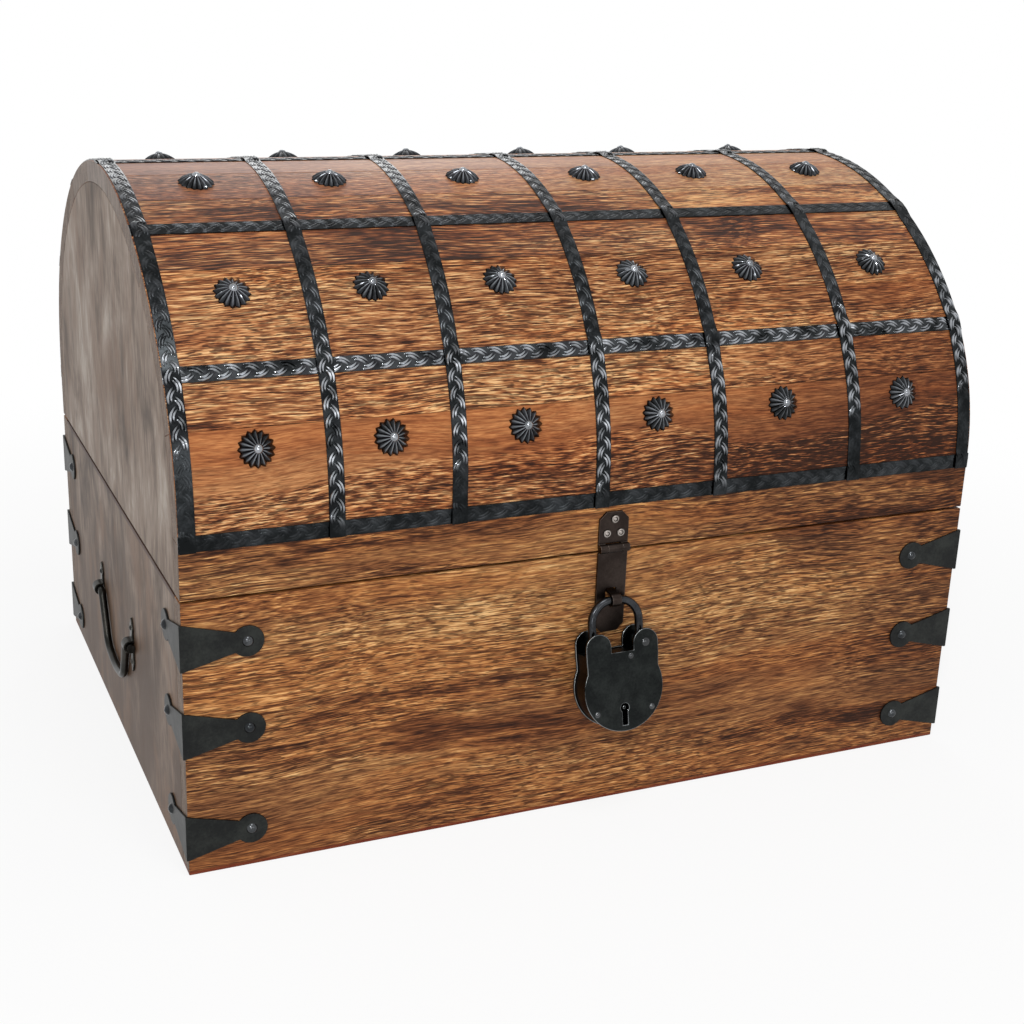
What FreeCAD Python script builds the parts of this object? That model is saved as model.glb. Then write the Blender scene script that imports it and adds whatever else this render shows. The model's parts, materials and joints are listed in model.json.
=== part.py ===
import FreeCAD, Part
import math
import os

# A barrel-topped wooden chest. Millimetres, +Z up, the front faces -Y.
# The origin is the centre of the base, on the floor.
V = FreeCAD.Vector
X, Y, Z = V(1, 0, 0), V(0, 1, 0), V(0, 0, 1)
ORIGIN = V(0, 0, 0)

# Box below the lid
WIDTH, DEPTH = 560.0, 424.0
BODY_TOP = 180.0
BOARD = 15.0
FLOOR_BOARD = 10.0
# Room for moving fits, and how far cutters and joined shapes run past a face
PLAY, PAST = 0.15, 1.0
HALF_W, HALF_D = WIDTH / 2, DEPTH / 2

# Barrel lid: upright rails, then staves on an arch of three arcs, a crown between two tighter haunches
LID_GAP = 1.5
LID_BOTTOM = BODY_TOP + LID_GAP
CROWN_Z = 406.0
HAUNCH_R, HAUNCH_TURN = 168.0, math.radians(42.0)
HAUNCH_Y = HALF_D - HAUNCH_R
CROWN_R = HAUNCH_R + HAUNCH_Y / math.cos(HAUNCH_TURN)
SPRING_Z = CROWN_Z - CROWN_R + HAUNCH_Y * math.tan(HAUNCH_TURN)
HAUNCH_L = HAUNCH_R * HAUNCH_TURN
ARCH_L = 2 * HAUNCH_L + CROWN_R * (math.pi - 2 * HAUNCH_TURN)
STAVE = 14.0
# Places round the arch are lengths over its skin from where the front haunch starts
# Seams, as the boards were cut
SEAMS = (-2.0, 62.6, 130.6, 165.6, 233.9, 273.9, 351.0, 420.0, 499.0, 564.0, ARCH_L + 2)

# Iron straps
STRAP_W, STRAP_T = 10.0, 1.5
JOGGLE = 4.0
FRONT_CROSS = (-2.0, 96.0, 202.0)
CROSS_STRAPS = FRONT_CROSS + (ARCH_L / 2,) + tuple(ARCH_L - s for s in reversed(FRONT_CROSS))
# Each arch strap's places along X on the cross straps from its front foot to the crown; behind, it runs
# straight down
ARCH_STRAPS = ((-273.5, -273, -272.5, -272), (-185, -184, -181, -178), (-107, -103.5, -95.5, -90.5),
               (-9.5, -6, 0.5, 4), (77, 78.5, 85, 87.5), (182, 182.5, 187, 189), (272.5, 273, 273.5, 273.5))

# Fluted studs
STUD_R, STUD_VALLEY_R, PETALS = 11.5, 9.9, 16
STUD_RIM_H, STUD_SHOULDER_Z, STUD_TOP_Z = 0.7, 3.5, 5.4
STUD_SHOULDER, STUD_TOP = 0.7, 0.32
# Each row's place on the front of the arch, and its studs along X; the back rows mirror them
STUD_ROWS = {50.0: (-231, -148.5, -61, 32, 126, 222.5), 147.7: (-230, -144, -58.5, 35.5, 123, 223.5),
             258.0: (-227.5, -140, -46.5, 45, 130.5, 227)}
STUD_NAIL_HEAD_R, STUD_NAIL_HEAD_H = 2.75, 1.7
NAIL_R, NAIL_LENGTH = 1.2, 9.0

# Corner brackets: an arm on each face of an upright corner
BRACKET_T = 1.5
BRACKET_H, NECK_H, NECK_U = 30.0, 13.0, 32.0
EYE_U, EYE_R = 39.5, 10.0
BRACKET_NAIL_HEAD_R, BRACKET_NAIL_HEAD_H = 3.5, 2.2
# Bracket heights on the corners (left or right, front or back)
BRACKET_Z = {("left", "front"): (152, 95, 26), ("right", "front"): (149, 88, 25),
             ("left", "back"): (148, 84, 20), ("right", "back"): (150, 90, 24)}

# Drop handles: spear-ended strips bent out into a saddle over each end of the bail
HANDLE_Z, HANDLE_HALF = 90.0, 56.0
ROD_R, ROD_PLAY = 2.7, 0.35
AXIS_OUT = SADDLE_R = ROD_R + ROD_PLAY
PLATE_T, PLATE_HALF_W = 1.5, 4.5
PLATE_TIP, PLATE_SHOULDER, PLATE_WAIST, PLATE_NECK = 20.0, 12.5, 9.0, 3.2
SADDLE_OUT = SADDLE_R + PLATE_T
HANDLE_NAIL_HEAD_R, HANDLE_NAIL_HEAD_H = 2.0, 1.0
BAIL_DROP, BAIL_HALF, BAIL_BEND = 35.0, 29.0, 16.0
BAIL_SAG, BAIL_TURN, BAIL_END = 5.0, 3.0, 3.0

# Back hinges, let into the edges of the back boards
HINGE_X, HINGE_L, KNUCKLES = 170.0, 64.0, 5
LEAF_T, LEAF_DEPTH = 1.8, 13.0
BARREL_R, HINGE_PIN_R, PIN_HEAD_R, PIN_PROUD = 4.0, 1.6, 2.5, 1.5
HINGE_CLEAR = 0.3
HINGE_Y, HINGE_Z = HALF_D + BARREL_R + HINGE_CLEAR, BODY_TOP + LID_GAP / 2
SCREW_R, SCREW_HEAD_R, SCREW_HEAD_H, SCREW_L = 1.4, 2.8, 1.4, 9.0
HINGE_SCREW_SPREAD = 22.0

# Hasp
HASP_W, HASP_T, HASP_CHAMFER = 21.0, 2.0, 5.0
HASP_TOP, HASP_END = 208.0, 125.0
KNUCKLE_R, HASP_PIN_R, KNUCKLE_W = 3.0, 1.3, 10.4
KNUCKLE_CLEAR = 0.35
HASP_AXIS_Y, HASP_AXIS_Z = -HALF_D - KNUCKLE_R - KNUCKLE_CLEAR, 183.6
LEAF_STANDOFF = 0.5
SLOT_W, SLOT_Z = 8.0, (143.8, 155.6)
HASP_SCREWS = ((0.4, 203.0), (-4.9, 193.5), (4.9, 193.5))

# Staple
STAPLE_W, STAPLE_T, STAPLE_INNER = 6.5, 1.5, 6.4
STAPLE_Z, STAPLE_OUT, STAPLE_FOOT = 149.7, 12.8, 12.0

# Padlock, drawn upright and then tilted on the top of its shackle, as it leans on the hasp
LOCK_Y, LOCK_TILT = -HALF_D - 8.1, 12.0
LOCK_THICK, LOCK_PLATE = 18.0, 2.0
EAR_X, EAR_R, EAR_Z = 17.0, 9.0, 121.0
NOTCH_Z, EAR_FOOT_Z = 116.8, 112.5
WAIST_X, WAIST_Z = 25.7, 108.0
BELLY_R, BELLY_Z, BELLY_JOIN = 28.4, 92.3, 25.0
RIM_INSET, RIM_WALL, RIM_TOP = 1.0, 1.2, 115.8
SHACKLE_R, SHACKLE_TOP, SHACKLE_FLAT, SHACKLE_END = 2.8, 149.5, 5.0, 108.0
LEG_SWING, LEG_PLAY = 2.5, 0.5
SHACKLE_EYE_R, SHACKLE_EYE_W = 5.0, 7.0
PIVOT_R, PIVOT_HEAD_R, RIVET_R, RIVET_HEAD_R, RIVET_HEAD_H = 2.0, 2.7, 1.3, 2.0, 0.9
RIVETS = ((5.9, 113.2), (-19.8, 77.4), (19.8, 77.4))
KEYHOLE = V(0, 0, 79.5)
KEYHOLE_R, KEY_SLOT_W, KEY_SLOT_Z, KEY_POST_R = 3.0, 3.7, 68.0, 1.2
BOLT_T, BOLT_TIP, BOLT_TRAVEL = 3.0, -12.2, 4.0
TONGUE_Z, BOLT_PLATE_Z, BOLT_HALF = (109.3, 111.9), (93.0, 109.3), 8.0
GUIDE_R, GUIDE_Z = 2.0, 102.0
TALON_R = KEYHOLE_R + 0.5
NOTCH_DEPTH, NOTCH_PLAY = 2.6, 0.5


def box(x0, x1, y0, y1, z0, z1):
    return Part.makeBox(x1 - x0, y1 - y0, z1 - z0, V(x0, y0, z0))


def centred(x, y, z, wide, deep, high):
    return box(x - wide / 2, x + wide / 2, y - deep / 2, y + deep / 2, z - high / 2, z + high / 2)


def rod_between(start, end, radius):
    return Part.makeCylinder(radius, (end - start).Length, start, end - start)


def joined(*shapes):
    whole = shapes[0]
    for shape in shapes[1:]:
        whole = whole.fuse(shape)
    return whole.removeSplitter()


def mirrored(shape, normal):
    return shape.mirror(ORIGIN, normal)


def prism(points, along):
    return Part.Face(Part.makePolygon(points + points[:1])).extrude(along)


def arc_edge(start, middle, end):
    return Part.Arc(start, middle, end).toShape()


# The barrel top

def skin_turn(s):
    """How far the skin has turned from upright at length s round the arch, in radians."""
    if s > ARCH_L / 2:
        return math.pi - skin_turn(ARCH_L - s)
    if s < HAUNCH_L:
        return max(0, s / HAUNCH_R)
    return HAUNCH_TURN + (s - HAUNCH_L) / CROWN_R


def skin(s, out):
    """The point at length s round the arch, this far out from the skin."""
    if s > ARCH_L / 2:
        front = skin(ARCH_L - s, out)
        return V(0, -front.y, front.z)
    turn = skin_turn(s)
    outward = V(0, -math.cos(turn), math.sin(turn))
    if s < HAUNCH_L:
        return V(0, -HAUNCH_Y, SPRING_Z + min(0, s)) + outward * (HAUNCH_R + out)
    return Z * (CROWN_Z - CROWN_R) + outward * (CROWN_R + out)


def skin_edges(out, start, end):
    """Lines and arcs along the arch, this far out from its skin."""
    joins = [s for s in (0, HAUNCH_L, ARCH_L - HAUNCH_L, ARCH_L) if start < s < end]
    edges = []
    for a, b in zip([start] + joins, joins + [end]):
        first, middle, last = skin(a, out), skin((a + b) / 2, out), skin(b, out)
        straight = skin_turn(a) == skin_turn(b)
        edges.append(Part.makeLine(first, last) if straight else arc_edge(first, middle, last))
    return edges


def along_chest(edges, x0, x1):
    face = Part.Face(Part.Wire(Part.__sortEdges__(edges)))
    face.translate(X * x0)
    return face.extrude(X * (x1 - x0))


def sector(low, high, start, end):
    """A board or strap the length of the lid, between two distances out from the skin."""
    edges = skin_edges(low, start, end) + skin_edges(high, start, end)
    edges += [Part.makeLine(skin(s, low), skin(s, high)) for s in (start, end)]
    return along_chest(edges, -HALF_W, HALF_W)


LID_FOOT = LID_BOTTOM - SPRING_Z


def lid_end():
    """The left end board, filling the arch under the staves."""
    edges = skin_edges(-STAVE, LID_FOOT, ARCH_L - LID_FOOT)
    edges.append(Part.makeLine(skin(LID_FOOT, -STAVE), skin(ARCH_L - LID_FOOT, -STAVE)))
    return along_chest(edges, -HALF_W, -HALF_W + BOARD)


def stepped_edges(out):
    """Edges of one face of an arch strap, lifted over each cross strap."""
    half, lifted = STRAP_W / 2, out + STRAP_T
    edges = []
    for s in CROSS_STRAPS:
        edges += skin_edges(lifted, s - half, s + half)
    for a, b in zip(CROSS_STRAPS, CROSS_STRAPS[1:]):
        start, end = a + half + JOGGLE, b - half - JOGGLE
        edges.append(Part.makeLine(skin(a + half, lifted), skin(start, out)))
        edges += skin_edges(out, start, end)
        edges.append(Part.makeLine(skin(end, out), skin(b - half, lifted)))
    return edges


def arch_strap(places):
    """A strap laid over the barrel, leaning as it was nailed."""
    half, crown_x = STRAP_W / 2, places[-1]
    ends = [Part.makeLine(skin(s, STRAP_T), skin(s, 2 * STRAP_T))
            for s in (CROSS_STRAPS[0] - half, CROSS_STRAPS[-1] + half)]
    edges = stepped_edges(0) + stepped_edges(STRAP_T) + ends
    reach = abs(places[0] - crown_x) + STRAP_W
    section = along_chest(edges, crown_x - reach, crown_x + reach)
    line = list(places) + [crown_x] * (len(places) - 1)
    middle = [V(x, skin(s, 0).y, 0) for x, s in zip(line, CROSS_STRAPS)]
    middle = [middle[0] - Y * STRAP_W] + middle + [middle[-1] + Y * STRAP_W]
    sides = [point - X * half for point in middle] + [point + X * half for point in reversed(middle)]
    return section.common(prism(sides, Z * (CROWN_Z + STRAP_W)))


def cross_straps():
    return [sector(0, STRAP_T, s - STRAP_W / 2, s + STRAP_W / 2) for s in CROSS_STRAPS]


# Nails, screws and studs, each with its seat at z = 0 and its head up +Z

def domed_nail(head_r, head_h, shank_r, length):
    ball = (head_r ** 2 + head_h ** 2) / (2 * head_h)
    half = math.asin(head_r / ball) / 2
    middle = V(ball * math.sin(half), 0, head_h - ball + ball * math.cos(half))
    crown, rim = V(0, 0, head_h), V(head_r, 0, 0)
    tip = V(0, 0, -length)
    edges = [arc_edge(rim, middle, crown), Part.makeLine(crown, tip)]
    edges += [Part.makeLine(tip, tip + X * shank_r), Part.makeLine(tip + X * shank_r, X * shank_r)]
    edges += [Part.makeLine(X * shank_r, rim)]
    return Part.Face(Part.Wire(Part.__sortEdges__(edges))).revolve(ORIGIN, Z, 360)


def sunk_screw():
    """A countersunk screw, its flat head level with z = 0."""
    head = Part.makeCone(SCREW_R, SCREW_HEAD_R, SCREW_HEAD_H, V(0, 0, -SCREW_HEAD_H))
    return joined(head, Part.makeCylinder(SCREW_R, SCREW_L, V(0, 0, -SCREW_L)))


def star(scale, z):
    points = []
    for i in range(2 * PETALS):
        radius = scale * (STUD_VALLEY_R if i % 2 else STUD_R)
        angle = math.pi * i / PETALS
        points.append(V(radius * math.cos(angle), radius * math.sin(angle), z))
    return Part.makePolygon(points + points[:1])


def stud():
    """A fluted dome on a low rim that reaches below z = 0."""
    sections = [star(1, -STUD_RIM_H), star(1, 0), star(STUD_SHOULDER, STUD_SHOULDER_Z)]
    return Part.makeLoft(sections + [star(STUD_TOP, STUD_TOP_Z)], True, True)


def on_barrel(shape, x, s, lift=0.0):
    placed = shape.copy()
    placed.rotate(ORIGIN, X, 90 - math.degrees(skin_turn(s)))
    placed.translate(X * x + skin(s, lift))
    return placed


def facing(shape, outward, place):
    """Turn a piece from facing +Z to face outward, and put it in place."""
    placed = shape.copy()
    turn = FreeCAD.Rotation(Z, outward)
    placed.rotate(ORIGIN, turn.Axis, math.degrees(turn.Angle))
    placed.translate(place)
    return placed


def stud_places():
    return [(x, place) for s, columns in STUD_ROWS.items() for place in (s, ARCH_L - s) for x in columns]


# Corner brackets

def bracket_arm(along, outward):
    corners = [Z * (-BRACKET_H / 2), along * NECK_U - Z * (NECK_H / 2),
               along * NECK_U + Z * (NECK_H / 2), Z * (BRACKET_H / 2)]
    disc = Part.makeCylinder(EYE_R, BRACKET_T, along * EYE_U, outward)
    return prism(corners, outward * BRACKET_T).fuse(disc)


def corner_pieces(side, end):
    """Three brackets and six nails on one upright corner."""
    sx, sy = (-1 if side == "left" else 1), (-1 if end == "front" else 1)
    corner = V(sx * HALF_W, sy * HALF_D, 0)
    bend = centred(sx * BRACKET_T / 2, sy * BRACKET_T / 2, 0, BRACKET_T, BRACKET_T, BRACKET_H)
    bracket = joined(bracket_arm(X * -sx, Y * sy), bracket_arm(Y * -sy, X * sx), bend)
    nail = domed_nail(BRACKET_NAIL_HEAD_R, BRACKET_NAIL_HEAD_H, NAIL_R, NAIL_LENGTH)
    brackets, nails = [], []
    for z in BRACKET_Z[side, end]:
        place = corner + Z * z
        brackets.append(bracket.translated(place))
        nails.append(facing(nail, Y * sy, place - X * sx * EYE_U + Y * sy * BRACKET_T))
        nails.append(facing(nail, X * sx, place - Y * sy * EYE_U + X * sx * BRACKET_T))
    return brackets, nails


# Drop handle on the left end

def handle_plate(y):
    """A strip with a spear point at each end, bent out round the bail in the middle."""
    half = PLATE_HALF_W
    strip = box(-PLATE_T, 0, -half, half, -PLATE_TIP, PLATE_TIP)
    hump = box(-AXIS_OUT, 0, -half, half, -SADDLE_OUT, SADDLE_OUT)
    bend = Part.makeCylinder(SADDLE_OUT, 2 * half, V(-AXIS_OUT, -half, 0), Y)
    hollow = box(-AXIS_OUT, 0, -half, half, -SADDLE_R, SADDLE_R)
    bore = Part.makeCylinder(SADDLE_R, 2 * half, V(-AXIS_OUT, -half, 0), Y)
    outline = [(0, PLATE_TIP), (half, PLATE_SHOULDER), (PLATE_NECK, PLATE_WAIST), (half, SADDLE_OUT)]
    outline += [(u, -v) for u, v in reversed(outline)]
    outline += [(-u, v) for u, v in reversed(outline) if u]
    spear = prism([V(0, u, v) for u, v in outline], X * -2 * SADDLE_OUT)
    saddle = joined(strip, hump, bend).cut(hollow).cut(bore).common(spear)
    return saddle.removeSplitter().translated(V(-HALF_W, y, HANDLE_Z))


def handle_nails(y):
    nail = domed_nail(HANDLE_NAIL_HEAD_R, HANDLE_NAIL_HEAD_H, NAIL_R, NAIL_LENGTH)
    heights = (HANDLE_Z - PLATE_SHOULDER, HANDLE_Z + PLATE_SHOULDER)
    return [facing(nail, -X, V(-HALF_W - PLATE_T, y, z)) for z in heights]


def bent_rod(points, bends, radius):
    """A round rod along straight runs, with a tangent arc of the given radius at each bend."""
    edges, start = [], points[0]
    for before, corner, after, bend in zip(points, points[1:], points[2:], bends):
        back, on = (before - corner).normalize(), (after - corner).normalize()
        half = back.getAngle(on) / 2
        reach = bend / math.tan(half)
        centre = corner + (back + on).normalize() * (bend / math.sin(half))
        first, last = corner + back * reach, corner + on * reach
        middle = centre + (corner - centre).normalize() * bend
        edges += [Part.makeLine(start, first), arc_edge(first, middle, last)]
        start = last
    edges.append(Part.makeLine(start, points[-1]))
    path = Part.Wire(edges)
    section = Part.Wire(Part.makeCircle(radius, points[0], points[1] - points[0]))
    return path.makePipeShell([section], True, False)


def bail():
    """A bowed rod whose ends turn out through the two saddles."""
    x = -HALF_W - AXIS_OUT
    out, turn = HANDLE_HALF + PLATE_HALF_W + BAIL_END, HANDLE_HALF - PLATE_HALF_W - ROD_R - BAIL_TURN
    bottom = HANDLE_Z - BAIL_DROP
    front = [(-out, HANDLE_Z), (-turn, HANDLE_Z), (-BAIL_HALF, bottom)]
    route = front + [(0, bottom - BAIL_SAG)] + [(-y, z) for y, z in reversed(front)]
    bends = (2 * ROD_R, BAIL_BEND, 4 * BAIL_BEND, BAIL_BEND, 2 * ROD_R)
    return bent_rod([V(x, y, z) for y, z in route], bends, ROD_R)


# Back hinges

def knuckle_spans(first):
    """The stretches of one hinge's barrel that belong to a leaf: every second knuckle."""
    width = HINGE_L / KNUCKLES
    for i in range(first, KNUCKLES, 2):
        start = -HINGE_L / 2 + i * width
        yield start + (PLAY if i else 0), start + width - (PLAY if i < KNUCKLES - 1 else 0)


def hinge_screw_places(x, z):
    middle = HALF_D - LEAF_DEPTH / 2
    return [V(x + step * HINGE_SCREW_SPREAD, middle, z) for step in (-1, 0, 1)]


def hinge_leaf(x, low, first, play):
    """A leaf from its let-in edge to its knuckles, which have this much play on the pin."""
    high = low + LEAF_T
    leaf = box(x - HINGE_L / 2, x + HINGE_L / 2, HALF_D - LEAF_DEPTH, HALF_D, low, high)
    for start, end in knuckle_spans(first):
        tongue = box(x + start, x + end, HALF_D - PAST, HINGE_Y, low, high)
        barrel = Part.makeCylinder(BARREL_R, end - start, V(x + start, HINGE_Y, HINGE_Z), X)
        leaf = leaf.fuse(tongue).fuse(barrel)
    bore = Part.makeCylinder(HINGE_PIN_R + play, 2 * HINGE_L, V(x - HINGE_L, HINGE_Y, HINGE_Z), X)
    return leaf.removeSplitter().cut(bore)


def hinge_pin(x):
    head = Part.makeSphere(PIN_HEAD_R, ORIGIN)
    reach = HINGE_L / 2 + PIN_PROUD
    shaft = Part.makeCylinder(HINGE_PIN_R, 2 * reach, X * -reach, X)
    ends = [head.translated(X * end * (reach + PIN_HEAD_R / 2)) for end in (-1, 1)]
    return joined(shaft, *ends).translated(V(x, HINGE_Y, HINGE_Z))


def recess(x, low):
    return box(x - HINGE_L / 2, x + HINGE_L / 2, HALF_D - LEAF_DEPTH, HALF_D, low, low + LEAF_T)


# Hasp

def barrel_part(x0, x1):
    return Part.makeCylinder(KNUCKLE_R, x1 - x0, V(x0, HASP_AXIS_Y, HASP_AXIS_Z), X)


def hasp_bore(play):
    return Part.makeCylinder(HASP_PIN_R + play, 2 * HASP_W, V(-HASP_W, HASP_AXIS_Y, HASP_AXIS_Z), X)


def clipped_plate(front_y, foot, tip):
    """A flat plate whose two corners at the tip are clipped."""
    half, clip = HASP_W / 2, HASP_CHAMFER * (1 if tip > foot else -1)
    outline = [(-half, foot), (half, foot), (half, tip - clip), (half - HASP_CHAMFER, tip)]
    outline += [(HASP_CHAMFER - half, tip), (-half, tip - clip)]
    return prism([V(x, front_y, z) for x, z in outline], Y * HASP_T)


def hasp_plate():
    plate = clipped_plate(-HALF_D - HASP_T, HASP_AXIS_Z + PAST, HASP_TOP)
    gap = box(-KNUCKLE_W / 2 - PLAY, KNUCKLE_W / 2 + PLAY, -HALF_D - 3 * KNUCKLE_R, -HALF_D,
              HASP_AXIS_Z - 2 * KNUCKLE_R, HASP_AXIS_Z + KNUCKLE_R + PLAY)
    knuckles = [barrel_part(-HASP_W / 2, -KNUCKLE_W / 2 - PLAY),
                barrel_part(KNUCKLE_W / 2 + PLAY, HASP_W / 2)]
    plate = joined(plate.cut(gap), *knuckles).cut(hasp_bore(0))
    for screw in hasp_screws():
        plate = plate.cut(screw)
    return plate


def hasp_screws():
    return [facing(sunk_screw(), Y * -1, V(x, -HALF_D - HASP_T, z)) for x, z in HASP_SCREWS]


def hasp_leaf():
    front_y = -HALF_D - LEAF_STANDOFF - HASP_T
    plate = clipped_plate(front_y, HASP_AXIS_Z - KNUCKLE_R - PLAY, HASP_END)
    neck = box(-KNUCKLE_W / 2, KNUCKLE_W / 2, front_y, front_y + HASP_T,
               HASP_AXIS_Z - KNUCKLE_R - PAST, HASP_AXIS_Z)
    leaf = joined(plate, neck, barrel_part(-KNUCKLE_W / 2, KNUCKLE_W / 2)).cut(hasp_bore(PLAY))
    slot = box(-SLOT_W / 2, SLOT_W / 2, front_y - PAST, front_y + HASP_T + PAST, *SLOT_Z)
    return leaf.cut(slot)


def hasp_pin():
    return Part.makeCylinder(HASP_PIN_R, HASP_W, V(-HASP_W / 2, HASP_AXIS_Y, HASP_AXIS_Z), X)


def staple():
    """A flat strip bent to a loop, its legs through the panel and turned over inside."""
    inner, outer = STAPLE_INNER / 2, STAPLE_INNER / 2 + STAPLE_T
    nose = V(-STAPLE_W / 2, -HALF_D - STAPLE_OUT + outer, STAPLE_Z)
    inside = -HALF_D + BOARD
    loop = Part.makeCylinder(outer, STAPLE_W, nose, X).cut(Part.makeCylinder(inner, STAPLE_W, nose, X))
    loop = loop.cut(centred(0, nose.y + outer, STAPLE_Z, 2 * STAPLE_W, 2 * outer, 3 * outer))
    pieces = [loop]
    for up in (-1, 1):
        leg_z = STAPLE_Z + up * (inner + STAPLE_T / 2)
        foot_z = STAPLE_Z + up * (inner + STAPLE_FOOT / 2)
        length = inside + STAPLE_T - nose.y
        pieces.append(centred(0, nose.y + length / 2, leg_z, STAPLE_W, length, STAPLE_T))
        pieces.append(centred(0, inside + STAPLE_T / 2, foot_z, STAPLE_W, STAPLE_T, STAPLE_FOOT))
    return joined(*pieces)


def staple_slots():
    reach = STAPLE_INNER / 2 + STAPLE_T / 2
    return [centred(0, -HALF_D, STAPLE_Z + up * reach, STAPLE_W + PLAY, 4 * BOARD, STAPLE_T + PLAY)
            for up in (-1, 1)]


# Padlock

def belly(inset, degrees):
    angle, radius = math.radians(degrees), BELLY_R - inset
    return V(radius * math.cos(angle), 0, BELLY_Z + radius * math.sin(angle))


def case_edges(inset, shoulder):
    """The case outline, in by inset, below its right shoulder and the left one that mirrors it."""
    side = V(shoulder.x, 0, EAR_FOOT_Z)
    waist, join = V(WAIST_X - inset, 0, WAIST_Z), belly(inset, BELLY_JOIN)
    right = [Part.makeLine(shoulder, side), arc_edge(side, waist, join)]
    left = [mirrored(edge, X) for edge in right]
    return right + left + [arc_edge(join, belly(inset, -90), V(-join.x, 0, join.z))]


def lock_plate(y):
    """A plate with two round ears and the notch between them."""
    outer, top, inner = V(EAR_X + EAR_R, 0, EAR_Z), V(EAR_X, 0, EAR_Z + EAR_R), V(EAR_X - EAR_R, 0, EAR_Z)
    notch = V(inner.x, 0, NOTCH_Z)
    ear = [arc_edge(outer, top, inner), Part.makeLine(inner, notch)]
    edges = case_edges(0, outer) + ear + [mirrored(edge, X) for edge in ear]
    edges.append(Part.makeLine(notch, V(-notch.x, 0, NOTCH_Z)))
    face = Part.Face(Part.Wire(Part.__sortEdges__(edges)))
    plate = face.extrude(Y * LOCK_PLATE).translated(Y * y)
    for x, z, radius in rivet_holes():
        plate = plate.cut(Part.makeCylinder(radius, 3 * LOCK_THICK, V(x, y - LOCK_THICK, z), Y))
    return plate


def rivet_holes():
    return [(x, z, RIVET_R) for x, z in RIVETS] + [(EAR_X, EAR_Z, PIVOT_R)]


FRONT_Y, BACK_Y = LOCK_Y - LOCK_THICK / 2, LOCK_Y + LOCK_THICK / 2


def front_plate():
    deep = 3 * LOCK_PLATE
    hole = Part.makeCylinder(KEYHOLE_R, deep, KEYHOLE + Y * (FRONT_Y - LOCK_PLATE), Y)
    slot = box(KEYHOLE.x - KEY_SLOT_W / 2, KEYHOLE.x + KEY_SLOT_W / 2, FRONT_Y - LOCK_PLATE,
               FRONT_Y + deep, KEY_SLOT_Z, KEYHOLE.z)
    return lock_plate(FRONT_Y).cut(hole).cut(slot)


def back_plate():
    """The back plate with the bolt's guide pin and the post that a pipe key slips over."""
    inside = BACK_Y - LOCK_PLATE
    guide = rod_between(V(0, inside, GUIDE_Z), V(0, LOCK_Y - BOLT_T, GUIDE_Z), GUIDE_R)
    post = rod_between(KEYHOLE + Y * inside, KEYHOLE + Y * (FRONT_Y + LOCK_PLATE / 2), KEY_POST_R)
    return joined(lock_plate(inside), guide, post)


def rim():
    """The band between the plates, closed across the top, with a slot for the shackle's free leg."""
    solids = []
    for inset in (RIM_INSET, RIM_INSET + RIM_WALL):
        top = V(EAR_X + EAR_R - inset, 0, RIM_TOP - inset + RIM_INSET)
        edges = case_edges(inset, top) + [Part.makeLine(top, V(-top.x, 0, top.z))]
        face = Part.Face(Part.Wire(Part.__sortEdges__(edges)))
        solids.append(face.extrude(Y * (LOCK_THICK - 2 * LOCK_PLATE)))
    band = solids[0].cut(solids[1]).translated(Y * (FRONT_Y + LOCK_PLATE))
    leg = SHACKLE_R + LEG_PLAY
    leg_way = box(-EAR_X - SHACKLE_R - LEG_SWING, -EAR_X + leg, LOCK_Y - leg, LOCK_Y + leg,
                  RIM_TOP - 2 * RIM_WALL, RIM_TOP + PAST)
    return band.cut(leg_way)


def rivet(x, z, radius, head_r):
    shaft = rod_between(V(x, FRONT_Y, z), V(x, BACK_Y, z), radius)
    head = domed_nail(head_r, RIVET_HEAD_H, radius, LOCK_PLATE)
    return joined(shaft, facing(head, Y * -1, V(x, FRONT_Y, z)), facing(head, Y, V(x, BACK_Y, z)))


def shackle():
    """A bow from the pivot eye to the free leg, which has a notch for the bolt."""
    half = SHACKLE_FLAT / 2
    bend = EAR_X - half
    spring_z = SHACKLE_TOP - bend
    ring = Part.makeTorus(bend, SHACKLE_R, V(half, LOCK_Y, spring_z), Y)
    corner = ring.common(box(half, 2 * EAR_X, LOCK_Y - EAR_X, LOCK_Y + EAR_X, spring_z, 2 * SHACKLE_TOP))
    flat = rod_between(V(-half, LOCK_Y, SHACKLE_TOP), V(half, LOCK_Y, SHACKLE_TOP), SHACKLE_R)
    bow = joined(corner, flat, mirrored(corner, X))
    fixed = rod_between(V(EAR_X, LOCK_Y, EAR_Z), V(EAR_X, LOCK_Y, spring_z), SHACKLE_R)
    free = rod_between(V(-EAR_X, LOCK_Y, SHACKLE_END), V(-EAR_X, LOCK_Y, spring_z), SHACKLE_R)
    eye = Part.makeCylinder(SHACKLE_EYE_R, SHACKLE_EYE_W, V(EAR_X, LOCK_Y - SHACKLE_EYE_W / 2, EAR_Z), Y)
    bore = Part.makeCylinder(PIVOT_R + PLAY, LOCK_THICK, V(EAR_X, LOCK_Y - LOCK_THICK / 2, EAR_Z), Y)
    side = -EAR_X + SHACKLE_R
    notch = box(side - NOTCH_DEPTH, side + PAST, LOCK_Y - SHACKLE_R, LOCK_Y + SHACKLE_R,
                TONGUE_Z[0] - NOTCH_PLAY, TONGUE_Z[1] + NOTCH_PLAY)
    return joined(bow, fixed, free, eye).cut(bore).cut(notch)


def tilted(shape):
    placed = shape.copy()
    placed.rotate(V(0, LOCK_Y, SHACKLE_TOP), X, -LOCK_TILT)
    return placed


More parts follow.
